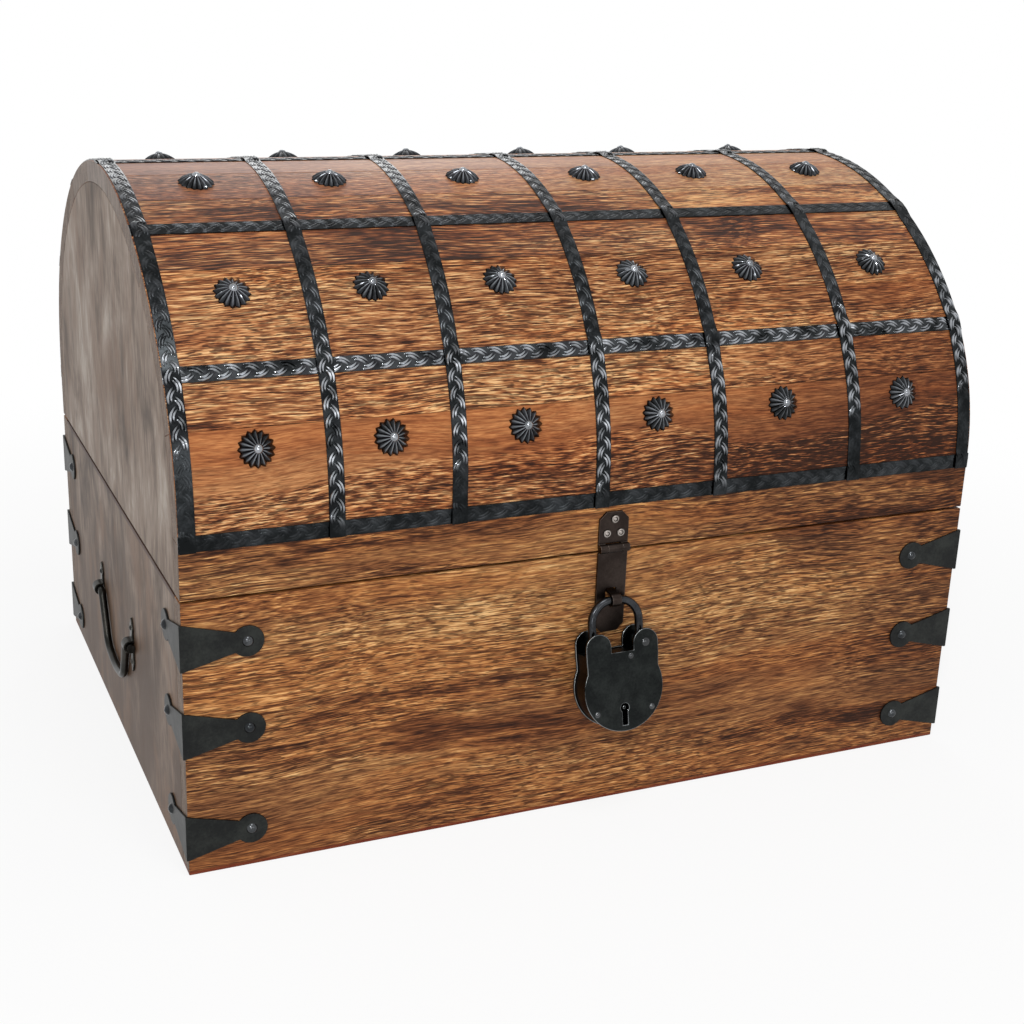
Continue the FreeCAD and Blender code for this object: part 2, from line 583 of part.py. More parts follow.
def lock_bolt():
    """The bolt, drawn back: a tongue towards the shackle on a plate slotted over the guide pin."""
    tongue = box(BOLT_TIP, 0, LOCK_Y, LOCK_Y + BOLT_T, *TONGUE_Z)
    plate = box(-BOLT_HALF, BOLT_HALF, LOCK_Y, LOCK_Y + BOLT_T, *BOLT_PLATE_Z)
    reach = GUIDE_R + PLAY
    ends = [Part.makeCylinder(reach, 3 * BOLT_T, V(x, LOCK_Y - BOLT_T, GUIDE_Z), Y)
            for x in (0, BOLT_TRAVEL)]
    middle = box(0, BOLT_TRAVEL, LOCK_Y - BOLT_T, LOCK_Y + 2 * BOLT_T, GUIDE_Z - reach, GUIDE_Z + reach)
    talon = Part.makeCylinder(TALON_R, 3 * BOLT_T, V(0, LOCK_Y - BOLT_T, BOLT_PLATE_Z[0]), Y)
    return joined(tongue, plate).cut(joined(middle, *ends)).cut(talon)


# Boards

def front_panel():
    panel = box(-HALF_W, HALF_W, -HALF_D, -HALF_D + BOARD, 0, BODY_TOP)
    for slot in staple_slots():
        panel = panel.cut(slot)
    return panel


def back_panel():
    panel = box(-HALF_W, HALF_W, HALF_D - BOARD, HALF_D, 0, BODY_TOP)
    for x in (-HINGE_X, HINGE_X):
        panel = panel.cut(recess(x, BODY_TOP - LEAF_T))
    return panel


def front_rail():
    return sector(-STAVE, 0, LID_FOOT, SEAMS[0])


def back_rail():
    board = sector(-STAVE, 0, SEAMS[-1], ARCH_L - LID_FOOT)
    for x in (-HINGE_X, HINGE_X):
        board = board.cut(recess(x, LID_BOTTOM))
    return board


def add_body(nodes):
    inner = (HALF_W - BOARD, HALF_D - BOARD)
    side = box(-HALF_W, -inner[0], -inner[1], inner[1], 0, BODY_TOP)
    nodes["front_panel"], nodes["back_panel"] = front_panel(), back_panel()
    nodes["left_panel"], nodes["right_panel"] = side, mirrored(side, X)
    nodes["bottom_panel"] = box(-inner[0], inner[0], -inner[1], inner[1], 0, FLOOR_BOARD)
    nodes["hasp_staple"] = staple()
    all_nails = []
    for side_name, end in BRACKET_Z:
        brackets, nails = corner_pieces(side_name, end)
        nodes[f"{end}_{side_name}_brackets"] = brackets
        all_nails += nails
    nodes["bracket_nails"] = all_nails


def add_handles(nodes):
    places = (-HANDLE_HALF, HANDLE_HALF)
    pieces = {"handle_plates": [handle_plate(y) for y in places],
              "handle_nails": [nail for y in places for nail in handle_nails(y)], "bail": [bail()]}
    for name, solids in pieces.items():
        nodes[f"left_{name}"] = solids
        nodes[f"right_{name}"] = [mirrored(solid, X) for solid in solids]


def add_hinges(nodes):
    places = (-HINGE_X, HINGE_X)
    body_low, lid_low = BODY_TOP - LEAF_T, LID_BOTTOM
    screws = {"body": [], "lid": []}
    for x in places:
        screws["body"] += [facing(sunk_screw(), Z, p) for p in hinge_screw_places(x, BODY_TOP)]
        screws["lid"] += [facing(sunk_screw(), Z * -1, p) for p in hinge_screw_places(x, LID_BOTTOM)]
    for name, low, first, play in (("body", body_low, 0, 0), ("lid", lid_low, 1, PLAY)):
        leaves = [hinge_leaf(x, low, first, play) for x in places]
        nodes[f"hinge_{name}_leaves"] = [leaf.cut(Part.makeCompound(screws[name])) for leaf in leaves]
        nodes[f"hinge_{name}_screws"] = screws[name]
    nodes["hinge_pins"] = [hinge_pin(x) for x in places]


def add_lid(nodes):
    end = lid_end()
    nodes["lid_front_rail"], nodes["lid_back_rail"] = front_rail(), back_rail()
    nodes["lid_left_end"], nodes["lid_right_end"] = end, mirrored(end, X)
    for i, (start, stop) in enumerate(zip(SEAMS, SEAMS[1:]), 1):
        nodes[f"stave_{i:02d}"] = sector(-STAVE, 0, start, stop)
    nodes["cross_straps"] = cross_straps()
    for i, places in enumerate(ARCH_STRAPS, 1):
        nodes[f"arch_strap_{i}"] = arch_strap(places)
    flower, barrel = stud(), sector(-STAVE, 0, 0, ARCH_L)
    pin = domed_nail(STUD_NAIL_HEAD_R, STUD_NAIL_HEAD_H, NAIL_R, NAIL_LENGTH + STUD_TOP_Z)
    nodes["studs"] = [on_barrel(flower, x, s).cut(barrel) for x, s in stud_places()]
    nodes["stud_nails"] = [on_barrel(pin, x, s, STUD_TOP_Z) for x, s in stud_places()]


def add_hasp_and_padlock(nodes):
    nodes["hasp_plate"], nodes["hasp_screws"] = hasp_plate(), hasp_screws()
    nodes["hasp_pin"], nodes["hasp_leaf"] = hasp_pin(), hasp_leaf()
    lock = {"padlock_front_plate": [front_plate()], "padlock_back_plate": [back_plate()],
            "padlock_rim": [rim()], "padlock_shackle": [shackle()],
            "padlock_rivets": [rivet(x, z, RIVET_R, RIVET_HEAD_R) for x, z in RIVETS],
            "padlock_pivot": [rivet(EAR_X, EAR_Z, PIVOT_R, PIVOT_HEAD_R)], "lock_bolt": [lock_bolt()]}
    for name, solids in lock.items():
        nodes[name] = [tilted(solid) for solid in solids]


def main():
    nodes = {}
    add_body(nodes)
    add_handles(nodes)
    add_hinges(nodes)
    add_lid(nodes)
    add_hasp_and_padlock(nodes)
    os.makedirs("parts", exist_ok=True)
    for name, shape in nodes.items():
        solids = shape if isinstance(shape, list) else [shape]
        solids = [solid for piece in solids for solid in piece.Solids]
        whole = solids[0] if len(solids) == 1 else Part.makeCompound(solids)
        whole.exportStep(f"parts/{name}.step")
        print(name, len(solids), round(whole.Volume), whole.isValid())


main()
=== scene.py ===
import json
import math

import bmesh
import bpy
from mathutils import Matrix, Vector

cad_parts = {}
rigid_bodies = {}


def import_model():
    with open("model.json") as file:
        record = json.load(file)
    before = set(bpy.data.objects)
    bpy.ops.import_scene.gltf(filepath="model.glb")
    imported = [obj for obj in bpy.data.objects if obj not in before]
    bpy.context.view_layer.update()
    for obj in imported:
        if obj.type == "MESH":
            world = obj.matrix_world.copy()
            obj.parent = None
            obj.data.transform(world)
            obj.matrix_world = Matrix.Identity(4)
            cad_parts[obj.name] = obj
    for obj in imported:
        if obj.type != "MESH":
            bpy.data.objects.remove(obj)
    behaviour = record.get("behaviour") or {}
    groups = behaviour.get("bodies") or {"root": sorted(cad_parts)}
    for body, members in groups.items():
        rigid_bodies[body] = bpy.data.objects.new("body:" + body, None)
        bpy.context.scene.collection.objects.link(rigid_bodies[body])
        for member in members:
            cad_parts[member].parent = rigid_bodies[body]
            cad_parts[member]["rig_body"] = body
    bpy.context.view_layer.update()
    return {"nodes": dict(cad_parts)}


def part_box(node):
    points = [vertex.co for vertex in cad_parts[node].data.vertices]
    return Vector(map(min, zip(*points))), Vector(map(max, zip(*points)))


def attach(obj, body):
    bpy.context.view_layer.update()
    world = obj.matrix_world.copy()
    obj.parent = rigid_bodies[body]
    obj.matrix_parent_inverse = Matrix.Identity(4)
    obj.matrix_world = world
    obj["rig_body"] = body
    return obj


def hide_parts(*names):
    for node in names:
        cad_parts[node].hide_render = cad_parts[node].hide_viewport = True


# A barrel-topped wooden chest with iron straps, fluted studs and a padlock. Metres, front towards -Y.
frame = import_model()
NODES = frame["nodes"]
MM = 0.001

# Taken from the frame
FRONT_LOW, FRONT_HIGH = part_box("front_panel")
HALF_W, HALF_D = FRONT_HIGH.x, -FRONT_LOW.y
SEAM_Z = FRONT_HIGH.z
CROWN_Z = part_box("stave_06")[1].z
HASP_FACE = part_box("hasp_screws")[0].y

# The lid's arch: a crown arc between two tighter haunches. Places round it are lengths over its skin
# from where the front haunch starts
HAUNCH_R, HAUNCH_TURN = 168 * MM, math.radians(42)
HAUNCH_Y = HALF_D - HAUNCH_R
CROWN_R = HAUNCH_R + HAUNCH_Y / math.cos(HAUNCH_TURN)
SPRING_Z = CROWN_Z - CROWN_R + HAUNCH_Y * math.tan(HAUNCH_TURN)
HAUNCH_L = HAUNCH_R * HAUNCH_TURN
ARCH_L = 2 * HAUNCH_L + CROWN_R * (math.pi - 2 * HAUNCH_TURN)

# Iron straps: a thin band with a plait on it, stepped up where one passes over another
STRAP_W, STRAP_T, BAND_T, BAND_EDGE, JOGGLE = 10 * MM, 1.5 * MM, 0.6 * MM, 0.25 * MM, 4 * MM

# Cross straps: their places round the arch, and how much of each one's plait still stands up
FRONT_CROSS = (-2 * MM, 96 * MM, 202 * MM)
CROSS_STRAPS = FRONT_CROSS + (ARCH_L / 2,) + tuple(ARCH_L - s for s in reversed(FRONT_CROSS))
FRONT_RELIEF, CROWN_RELIEF = (0.35, 0.96, 0.42), 0.5
CROSS_RELIEF = FRONT_RELIEF + (CROWN_RELIEF,) + FRONT_RELIEF[::-1]

# How far the arch straps hammer a cross strap's plait down, and over what length beside them it fades out
HAMMERED, HAMMER_FADE = 0.97, 3 * MM

# Arch straps: their places along X (mm) on the cross straps from the front foot to the crown
ARCH_STRAPS = ((-274.7, -274.5, -274.2, -274), (-185, -184, -181, -178), (-107, -103.5, -95.5, -90.5),
               (-9.5, -6, 0.5, 4), (77, 78.5, 85, 87.5), (182, 182.5, 187, 189),
               (273.5, 274, 274.5, 274.5))

# The stretch round the arch (mm) where each arch strap's plait is crisp, how far it takes to fade at its
# foot and its top, how much stands up elsewhere, and how much more above that stretch and on the lid's top
CRISP = ((54, 108), (4, 112), (30, 104), (6, 96), (2, 88), (40, 116), (50, 140))
FOOT_FADE, TOP_FADE = 5, 8
FLAT_RELIEF, ABOVE_RELIEF, TOP_RELIEF = 0.15, 0.13, 0.25
TOP_STRETCH = (188 * MM, 212 * MM)

# The plait rolled into the straps: from each edge, pairs of blades curving in to the middle (mm)
PLAIT_STEP = 11 * MM
BLADE_WIDE, BLADE_HIGH = 1.05 * MM, 1.0 * MM
BLADES = (((-5.5, 3.5), (0.5, 5.4), (5.2, -0.2)), ((-4.2, 1.7), (0.0, 3.5), (3.4, -1.2)))

# Fluted studs: each row's place round the front of the arch, and its studs along X (mm)
STUD_ROWS = {50.0: (-231, -148.5, -61, 32, 126, 222.5), 147.7: (-230, -144, -58.5, 35.5, 123, 223.5),
             258.0: (-227.5, -140, -46.5, 45, 130.5, 227)}
STUD_R, PETALS = 11.5 * MM, 16

# A stud's profile: its foot under the wood's skin, then heights (mm) and shares of its radius. Its flutes:
# how far from a valley as a share of a petal, how much that is drawn in, and how far it is sunk (mm)
STUD_FOOT = -0.7
STUD_PROFILE = ((0.3, 1.0), (0.9, 0.97), (2.0, 0.87), (3.3, 0.71), (4.4, 0.52), (5.1, 0.36), (5.4, 0.2))
FLUTES = ((0.0, 0.86, 0.6), (0.25, 0.93, 0.25))

# The hasp plate's screws: their places along X and up (mm), and a head's disc, ring, dish and middle
HASP_SCREWS = ((0.4, 203), (-4.9, 193.5), (4.9, 193.5))
SCREW_R, SCREW_T = 2.7 * MM, 0.5 * MM
RING_SLOPE, RING_H, RING_W = 0.6 * MM, 0.35 * MM, 0.5 * MM
DISH_DEPTH, DISH_SLOPE, MIDDLE_H = 0.7 * MM, 0.6 * MM, 0.45 * MM

# Camera, where the photograph was taken from
CAMERA_PLACE = Vector((-0.4573, -1.0671, 0.5379))
CAMERA_YAW, CAMERA_PITCH, CAMERA_ROLL = (math.radians(a) for a in (24.287, -19.014, 2.089))
FOCAL_PIXELS, IMAGE_PIXELS, SENSOR = 1595.34, 1024, 36

# Studio: each lamp's place, width and watts, what they point at, and the light all round
LAMPS = {"key": ((-1.3, -2.0, 1.7), 0.22, 27), "low": ((-0.9, -2.3, 0.5), 0.4, 5),
         "front": ((0.5, -2.6, 0.9), 1.2, 5), "top": ((-0.1, -1.0, 2.3), 0.8, 12),
         "back": ((0.6, 2.2, 1.6), 1.2, 8)}
LAMP_AIM = Vector((0, 0, 0.2))
AMBIENT = 0.5
FLOOR_SIZE, FLOOR_DROP, FLOOR_GLOW = 12, 0.2 * MM, 0.85


# Shader nodes

class Shade:
    """A socket in a node tree: sums and products of these add Math nodes."""

    def __init__(self, tree, socket):
        self.tree = tree
        self.socket = socket

    def math(self, operation, other=0.0, flipped=False):
        first, second = (other, self) if flipped else (self, other)
        return add_node(self.tree, "ShaderNodeMath", {"operation": operation}, {0: first, 1: second})

    def __add__(self, other):
        return self.math("ADD", other)

    def __sub__(self, other):
        return self.math("SUBTRACT", other)

    def __rsub__(self, other):
        return self.math("SUBTRACT", other, flipped=True)

    def __mul__(self, other):
        return self.math("MULTIPLY", other)

    def at_most(self, other):
        return self.math("MINIMUM", other)

    def at_least(self, other):
        return self.math("MAXIMUM", other)

    __radd__, __rmul__ = __add__, __mul__


def add_node(tree, kind, settings=None, inputs=None, output=0):
    """Add a node: its settings first, then the values or links of its sockets."""
    node = tree.nodes.new(kind)
    for name, value in (settings or {}).items():
        if name == "stops":
            set_stops(node.color_ramp, value)
        else:
            setattr(node, name, value)
    for name, value in (inputs or {}).items():
        if isinstance(value, Shade):
            tree.links.new(value.socket, node.inputs[name])
        else:
            node.inputs[name].default_value = value
    return Shade(tree, node.outputs[output])


def set_stops(ramp, stops):
    while len(ramp.elements) < len(stops):
        ramp.elements.new(1)
    for element, (place, colour) in zip(ramp.elements, stops):
        element.position = place
        element.color = colour


def tint(red, green, blue):
    """A colour as seen on screen, 0 to 255, as linear light."""
    parts = [c / 255 for c in (red, green, blue)]
    return tuple(c / 12.92 if c <= 0.04045 else ((c + 0.055) / 1.055) ** 2.4 for c in parts) + (1,)


def new_finish(name, **values):
    """A material with one Principled shader and its fixed values."""
    material = bpy.data.materials.new(name)
    material.use_nodes = True
    shader = material.node_tree.nodes["Principled BSDF"]
    for socket, value in values.items():
        shader.inputs[socket.replace("_", " ")].default_value = value
    return material, material.node_tree, shader


def object_place(tree):
    return add_node(tree, "ShaderNodeTexCoord", output="Object")


def noise(tree, place, stretch, detail=3.0, rough=0.55, bend=0.0):
    """Noise from 0 to 1 with this many cells per metre along each axis."""
    scaled = add_node(tree, "ShaderNodeMapping", None, {"Vector": place, "Scale": stretch})
    return add_node(tree, "ShaderNodeTexNoise", None,
                    {"Vector": scaled, "Scale": 1.0, "Detail": detail, "Roughness": rough,
                     "Distortion": bend})


def step_up(tree, value, low, high):
    """Rises smoothly from 0 at low to 1 at high."""
    return add_node(tree, "ShaderNodeMapRange", {"interpolation_type": "SMOOTHSTEP"},
                    {"Value": value, "From Min": low, "From Max": high})


def blend(tree, share, first, second, kind="MIX"):
    return add_node(tree, "ShaderNodeMix", {"data_type": "RGBA", "blend_type": kind},
                    {0: share, 6: first, 7: second}, 2)


def feed(tree, shader, **links):
    for socket, shade in links.items():
        tree.links.new(shade.socket, shader.inputs[socket.replace("_", " ")])


def bump(tree, height, depth, strength):
    return add_node(tree, "ShaderNodeBump", None,
                    {"Height": height, "Distance": depth, "Strength": strength})


# Finishes

# The boards' colours from burnt to pale
GOLDEN = ((0.0, tint(38, 20, 11)), (0.24, tint(93, 56, 33)), (0.48, tint(139, 92, 55)),
          (0.72, tint(178, 128, 77)), (1.0, tint(222, 178, 122)))
RUSSET = ((0.0, tint(38, 20, 11)), (0.24, tint(97, 53, 30)), (0.48, tint(146, 92, 55)),
          (0.72, tint(186, 131, 84)), (1.0, tint(221, 180, 128)))
# The end boards' grey is partly a painted reflection: the sheen of pale surroundings seen at a grazing
# angle
GREY = ((0.0, tint(48, 38, 31)), (0.3, tint(90, 75, 62)), (0.55, tint(122, 105, 91)),
        (0.8, tint(144, 129, 116)), (1.0, tint(168, 156, 144)))

# The turns that lay the grain along an axis, how far it sways, and how far from the middle a board's
# end tones are reached
ALONG_X, ALONG_Z = (0, 0, 0), (0, math.pi / 2, 0)
SWAY, DRIFT_X = 17 * MM, 240 * MM


def grain_place(tree, seed, grain):
    """Object coordinates turned so that the grain runs along X, a little wavy, and moved by the seed."""
    place = add_node(tree, "ShaderNodeMapping", None,
                     {"Vector": object_place(tree), "Location": (seed * 1.7, seed * 0.9, seed * 1.3),
                      "Rotation": grain})
    sway = add_node(tree, "ShaderNodeTexNoise", None,
                    {"Vector": place, "Scale": 6.0, "Detail": 2.0}, "Color")
    return add_node(tree, "ShaderNodeVectorMath", {"operation": "MULTIPLY_ADD"},
                    {0: sway, 1: (0, SWAY, SWAY), 2: place})


def part_of(tree, vector, axis):
    return add_node(tree, "ShaderNodeSeparateXYZ", None, {0: vector}, axis)


def patch(tree, here, x, z, wide, high):
    """1 at this place on a front board, fading out to 0 at this half width and half height (mm)."""
    near = add_node(tree, "ShaderNodeMapping", None,
                    {"Vector": here, "Location": (-x / wide, 0, -z / high),
                     "Scale": (1 / (wide * MM), 0, 1 / (high * MM))})
    away = add_node(tree, "ShaderNodeVectorMath", {"operation": "LENGTH"}, {0: near}, "Value")
    return 1.0 - step_up(tree, away, 0.2, 1.0)


def drift(tree, here, left, middle, right):
    """A value that changes along the chest from its left end to its middle and its right end."""
    x = part_of(tree, here, "X")
    return (left + (middle - left) * step_up(tree, x, -DRIFT_X, 0.0)
            + (right - middle) * step_up(tree, x, 0.0, DRIFT_X))


def plank(name, colours, seed, foot, top, tones=(0, 0, 0), climb=0.0, burn=0.5, figure=1.0, stretch=1.0,
          sheen=0.14, calm_above=None, patches=()):
    """A scorched and oiled board along X: drifting tone, burnt flames, grain lines, threads and dark pores.

    Its tones are those at the left end, the middle and the right end, and it is lighter by climb at
    its top than at its foot. Burn is how much of it is smoked, figure how strong its grain is and
    stretch how long; each patch is a change of tone, its place and its half sizes."""
    material, tree, shader = new_finish(name, Specular_IOR_Level=sheen)
    here, place = object_place(tree), grain_place(tree, seed, ALONG_X)
    up = part_of(tree, here, "Z")
    tone = noise(tree, place, (5, 18, 18), 2, 0.5)
    smoke = noise(tree, place, (3, 20, 20), 3, 0.6)
    flame = noise(tree, place, (9, 75, 75), 3, 0.6, 0.8)
    band = noise(tree, place, (3, 90, 90), 4, 0.6)
    line = noise(tree, place, (34 / stretch, 640, 640), 3, 0.65)
    dash = noise(tree, place, (130 / stretch, 1150, 1150), 2, 0.6)
    pore = noise(tree, place, (120, 1000, 1000), 1, 0.5)
    vein = noise(tree, place, (17 / stretch, 290, 290), 2, 0.5)
    ruddy = noise(tree, place, (4, 34, 34), 3, 0.6)
    calm = 0.5 * step_up(tree, noise(tree, place, (2.5, 24, 24), 2, 0.5), 0.52, 0.62)
    if calm_above:
        edge = up + 60 * MM * (tone - 0.5)
        calm = calm.at_least(step_up(tree, edge, calm_above - 2 * MM, calm_above + 2 * MM))
    figured = figure * (1.0 - 0.7 * calm)
    level = (0.47 + drift(tree, here, *tones) + climb * (step_up(tree, up, foot, top) - 0.5)
             + 0.65 * (tone - 0.5) + 0.5 * (band - 0.5)
             + figured * (0.75 * (line - 0.5) + 2.1 * (dash - 0.5)))
    smoked = step_up(tree, smoke, 0.62 - 0.24 * burn, 0.8 - 0.24 * burn)
    level = level - 0.36 * smoked * step_up(tree, flame, 0.42, 0.58)
    for change, *spot in patches:
        level = level + change * patch(tree, here, *spot)
    pores = step_up(tree, pore, 0.52, 0.64) * (0.4 + 0.6 * step_up(tree, tone, 0.4, 0.6))
    thread = 1.0 - step_up(tree, (vein - 0.5).math("ABSOLUTE"), 0.006, 0.03)
    flecks = (figured * pores.at_least(thread * step_up(tree, tone, 0.34, 0.5))).at_most(1.0)
    base = add_node(tree, "ShaderNodeValToRGB", {"stops": colours}, {0: level})
    red = (0.8 * smoked).at_least(0.75 * step_up(tree, ruddy, 0.45, 0.6))
    reddened = blend(tree, red, base, (1.0, 0.82, 0.68, 1), "MULTIPLY")
    marked = blend(tree, flecks * 0.78, reddened, tint(48, 24, 13))
    facing = part_of(tree, add_node(tree, "ShaderNodeTexCoord", output="Normal"), "X")
    cut_end = step_up(tree, facing.math("ABSOLUTE"), 0.8, 0.9)
    rings = step_up(tree, noise(tree, here, (20, 320, 70), 4, 0.6), 0.3, 0.7)
    ended = blend(tree, cut_end * 0.9, marked, blend(tree, rings, tint(80, 65, 54), tint(124, 110, 98)))
    mahogany = 1.0 - step_up(tree, up, 1.5 * MM, 3.5 * MM)
    feed(tree, shader, Base_Color=blend(tree, mahogany * 0.8, ended, tint(104, 38, 22)),
         Roughness=0.58 - 0.16 * level.at_most(1.0).at_least(0.0),
         Normal=bump(tree, dash * 0.6 + line * 0.5 - flecks * 0.6, 0.4 * MM, 0.35))
    return material


def end_board(name, seed, lightness):
    """A grey board, its grey partly a painted reflection, with upright grain, clouded with brown, darker at
    the floor with painted shade, and darker along the seam.
    """
    material, tree, shader = new_finish(name, Specular_IOR_Level=0.15)
    here, place = object_place(tree), grain_place(tree, seed, ALONG_Z)
    up = part_of(tree, here, "Z")
    cloud = noise(tree, place, (11, 20, 20), 4, 0.62, 0.5)
    band = noise(tree, place, (9, 75, 75), 4, 0.6, 0.4)
    line = noise(tree, place, (50, 300, 300), 3, 0.6)
    dab = noise(tree, place, (45, 260, 260), 2, 0.5)
    # Darker towards the floor: painted shade
    upward = step_up(tree, up, -0.02, 0.24)
    level = (0.02 + lightness + 0.53 * upward
             + 2.4 * (cloud - 0.5) + 1.0 * (band - 0.5) + 0.9 * (line - 0.5))
    base = add_node(tree, "ShaderNodeValToRGB", {"stops": GREY}, {0: level})
    stain = noise(tree, place, (8, 13, 13), 3, 0.6, 0.6)
    browned = 0.1 + 0.35 * (1.0 - upward) + 0.55 * step_up(tree, stain + 0.5 * (band - 0.5), 0.48, 0.66)
    brown = blend(tree, browned, base, tint(108, 80, 58))
    streaked = blend(tree, step_up(tree, dab, 0.6, 0.74) * 0.5, brown, tint(64, 46, 35))
    seam = 1.0 - step_up(tree, (up - SEAM_Z).math("ABSOLUTE"), 1.4 * MM, 3.6 * MM)
    feed(tree, shader, Base_Color=blend(tree, seam * 0.8, streaked, tint(58, 30, 20)),
         Roughness=0.55 - 0.15 * cloud, Normal=bump(tree, line, 0.25 * MM, 0.3))
    return material


def iron(name, dark, pale, rough, hammer, rubbed=None):
    """Blackened iron: cloudy colour, uneven sheen, dents as deep as hammer says, painted highlights."""
    material, tree, shader = new_finish(name, Metallic=1.0)
    place = object_place(tree)
    cloud = noise(tree, place, (55, 55, 55), 4, 0.6)
    speck = noise(tree, place, (700, 700, 700), 2, 0.6)
    dent = noise(tree, place, (170, 170, 170), 2, 0.5)
    share = step_up(tree, cloud + 0.35 * (speck - 0.5), 0.35, 0.75)
    colour, sheen = blend(tree, share, dark, pale), rough + 0.2 * (cloud - 0.5) + 0.1 * (speck - 0.5)
    # Painted highlight: marked points turn, in patches, towards this pale colour and a little glossier
    if rubbed:
        edge = add_node(tree, "ShaderNodeAttribute", {"attribute_name": "rubbed"}, output="Fac")
        bright = edge * step_up(tree, cloud, 0.3, 0.56)
        colour, sheen = blend(tree, bright, colour, rubbed), sheen - 0.08 * bright
    feed(tree, shader, Base_Color=colour, Roughness=sheen,
         Normal=bump(tree, dent + 0.15 * speck, hammer, 0.5))
    return material


# Modelling helpers

def clear_selection():
    if bpy.context.mode != "OBJECT":
        bpy.ops.object.mode_set(mode="OBJECT")
    bpy.ops.object.select_all(action="DESELECT")


def pick(*pieces):
    """Select these pieces, and make the first one active."""
    clear_selection()
    for piece in pieces:
        piece.select_set(True)
    bpy.context.view_layer.objects.active = pieces[0]


def begin(name):
    """Name the primitive just added and open it for editing."""
    piece = bpy.context.object
    piece.name = name
    bpy.ops.object.mode_set(mode="EDIT")
    bpy.ops.mesh.select_all(action="SELECT")
    return piece


def choose(piece, test, kind="VERT"):
    """In edit mode, select the points or edges whose places pass the test."""
    bpy.ops.mesh.select_all(action="DESELECT")
    bpy.ops.mesh.select_mode(type=kind)
    mesh = bmesh.from_edit_mesh(piece.data)
    for part in (mesh.verts if kind == "VERT" else mesh.edges):
        part.select_set(test(part.co) if kind == "VERT" else test(*(v.co for v in part.verts)))
    mesh.select_flush(True)
    bmesh.update_edit_mesh(piece.data)


def copy_of(piece, name, matrix=None):
    """A copy with its own mesh, moved by the matrix."""
    twin = bpy.data.objects.new(name, piece.data.copy())
    bpy.context.collection.objects.link(twin)
    if matrix:
        twin.data.transform(matrix)
    return twin


def join(pieces, name):
    pick(*pieces)
    bpy.ops.object.join()
    pieces[0].name = name
    return pieces[0]


def apply_modifier(piece, kind, **settings):
    pick(piece)
    modifier = piece.modifiers.new(kind.lower(), kind)
    for name, value in settings.items():
        setattr(modifier, name, value)
    bpy.ops.object.modifier_apply(modifier=modifier.name)


def smooth(piece, degrees=35):
    pick(piece)
    bpy.ops.object.shade_smooth_by_angle(angle=math.radians(degrees))


def paint_highlight(piece, rule):
    """Keep on each point how much painted highlight it takes, from 0 to 1."""
    layer = piece.data.attributes.new("rubbed", "FLOAT", "POINT")
    for point, kept in zip(piece.data.vertices, layer.data):
        kept.value = rule(point)


def finish_piece(piece, nodes, finish):
    """Give a piece its finish, and put it on the body of the CAD nodes that it stands for."""
    piece.data.materials.clear()
    piece.data.materials.append(finish)
    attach(piece, NODES[nodes[0]]["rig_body"])
    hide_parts(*nodes)


def keep(node, finish):
    """A CAD node whose shape is right keeps it, and takes a finish."""
    for slot in NODES[node].material_slots:
        slot.material = finish


# Two slots that tell a bevel's faces from the rest until a piece takes its finish
MARKERS = [bpy.data.materials.new(name) for name in ("flat_of_piece", "edge_of_piece")]
MERGE_GAP, SHARP = 0.002 * MM, math.radians(40)


def eased(node, edge, finish, segments=2):
    """A merged copy of a CAD node with its sharp edges rounded, and its bevels marked for a painted
    highlight.
    """
    piece = copy_of(NODES[node], f"{node}_eased")
    piece.data.materials.clear()
    for material in MARKERS:
        piece.data.materials.append(material)
    pick(piece)
    bpy.ops.mesh.customdata_custom_splitnormals_clear()
    bpy.ops.object.mode_set(mode="EDIT")
    bpy.ops.mesh.select_all(action="SELECT")
    bpy.ops.mesh.remove_doubles(threshold=MERGE_GAP)
    bpy.ops.mesh.dissolve_limited(angle_limit=math.radians(0.5))
    bpy.ops.object.mode_set(mode="OBJECT")
    apply_modifier(piece, "BEVEL", width=edge, segments=segments, limit_method="ANGLE",
                   angle_limit=SHARP, use_clamp_overlap=False, material=1)
    # The bevels' points take the painted highlight, the flat faces' points none
    flat = {v for face in piece.data.polygons if face.material_index == 0 for v in face.vertices}
    paint_highlight(piece, lambda point: 0.0 if point.index in flat else 1.0)
    for face in piece.data.polygons:
        face.material_index = 0
    smooth(piece)
    apply_modifier(piece, "WEIGHTED_NORMAL", keep_sharp=True)
    finish_piece(piece, [node], finish)


# The arch of the lid

def skin_turn(s):
    """How far the skin has turned from upright at length s round the arch."""
    if s > ARCH_L / 2:
        return math.pi - skin_turn(ARCH_L - s)
    if s < HAUNCH_L:
        return max(0, s / HAUNCH_R)
    return HAUNCH_TURN + (s - HAUNCH_L) / CROWN_R


def on_arch(x, s, out):
    """The point at x along the lid and length s round the arch, this far out from the skin."""
    if s > ARCH_L / 2:
        return on_arch(x, ARCH_L - s, out) * Vector((1, -1, 1))
    turn = skin_turn(s)
    outward = Vector((0, -math.cos(turn), math.sin(turn)))
    if s < HAUNCH_L:
        return Vector((x, -HAUNCH_Y, SPRING_Z + min(0, s))) + outward * (HAUNCH_R + out)
    return Vector((x, 0, CROWN_Z - CROWN_R)) + outward * (CROWN_R + out)


# Straps

def reshape(piece, rule):
    for point in piece.data.vertices:
        point.co = rule(*point.co)


def ramp_between(distance, near, far):
    """1 up to near, 0 beyond far, and an even slope between."""
    return min(1.0, max(0.0, (far - distance) / (far - near)))


